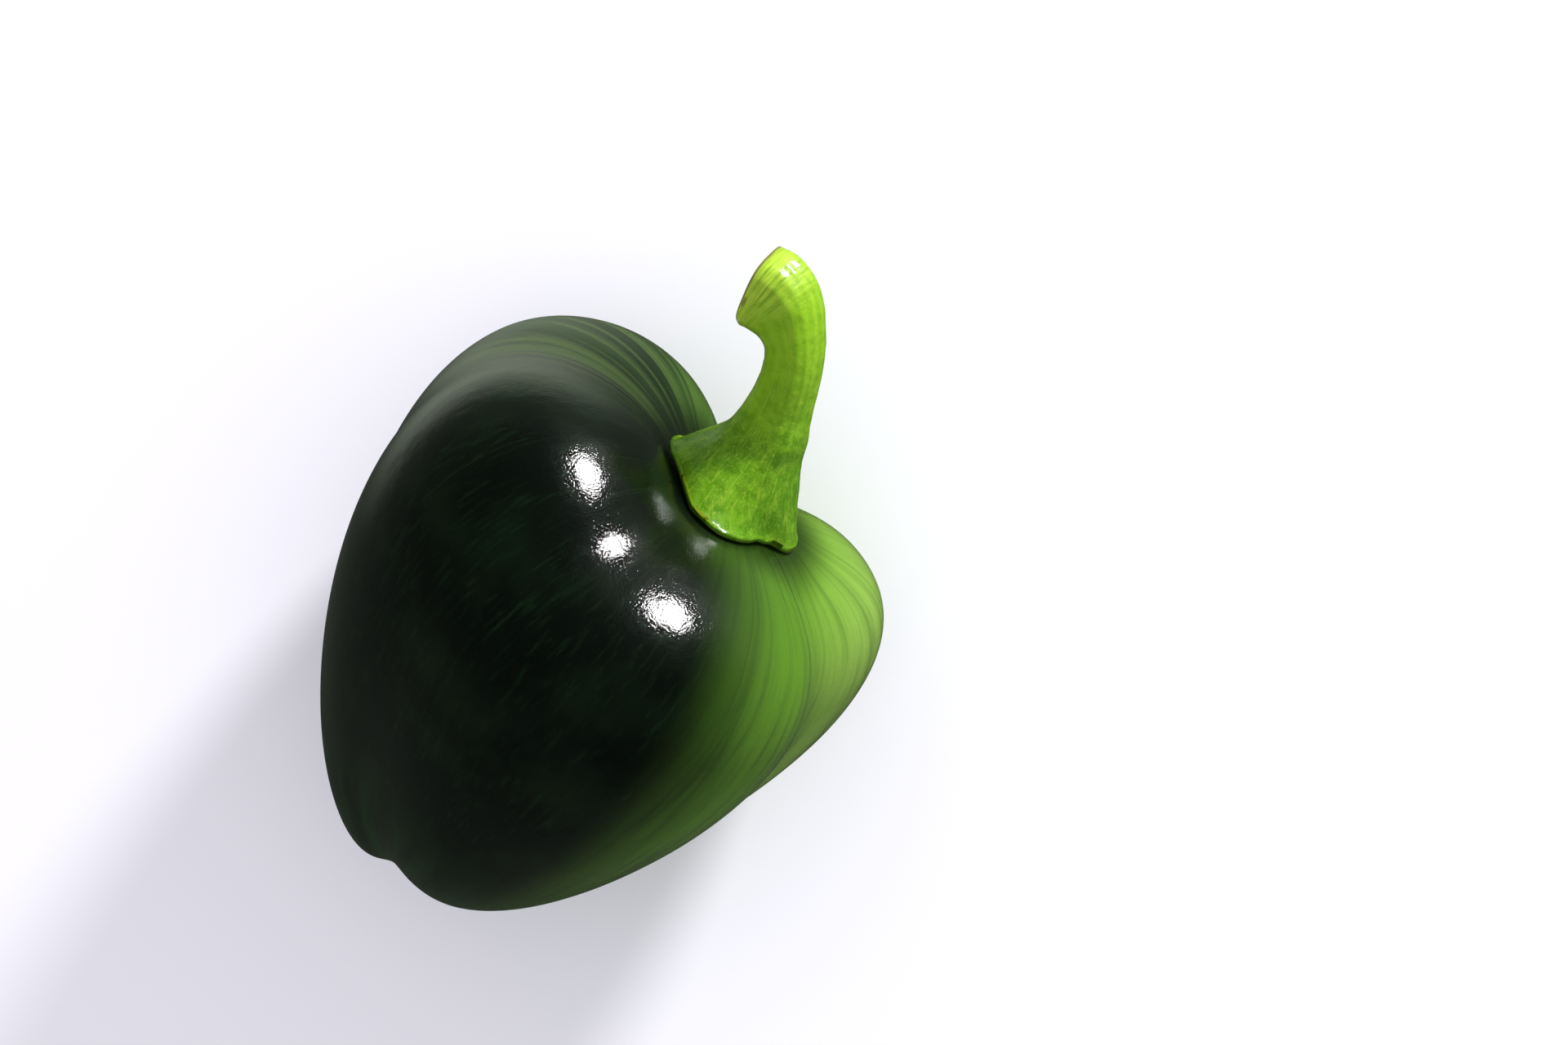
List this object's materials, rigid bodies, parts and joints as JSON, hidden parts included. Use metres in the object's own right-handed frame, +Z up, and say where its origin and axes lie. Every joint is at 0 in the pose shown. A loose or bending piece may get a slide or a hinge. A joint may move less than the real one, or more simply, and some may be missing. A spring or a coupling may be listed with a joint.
{
  "type": "bell pepper",
  "caption": "Dark green bell pepper lying on its side, a tapering fruit of rounded lobes with a bright green calyx and a bent, flared stalk.",
  "frame": {"origin": "under the middle of the whole pepper's box, at the height of the surface it lies on", "axes": "+Z up from the surface, +X towards the stalk end, +Y towards the side that the stalk bends to"},
  "size_m": [0.1258, 0.0874, 0.0859],
  "materials": {
    "skin": "smooth waxy skin, near-black green with olive streaks behind and grass green on one flank",
    "stalk": "fleshy bright green with fine ribs and mottling, satin"
  },
  "bodies": {
    "root": {"fruit": "skin", "stem_calyx": "stalk"}
  },
  "joints": []
}
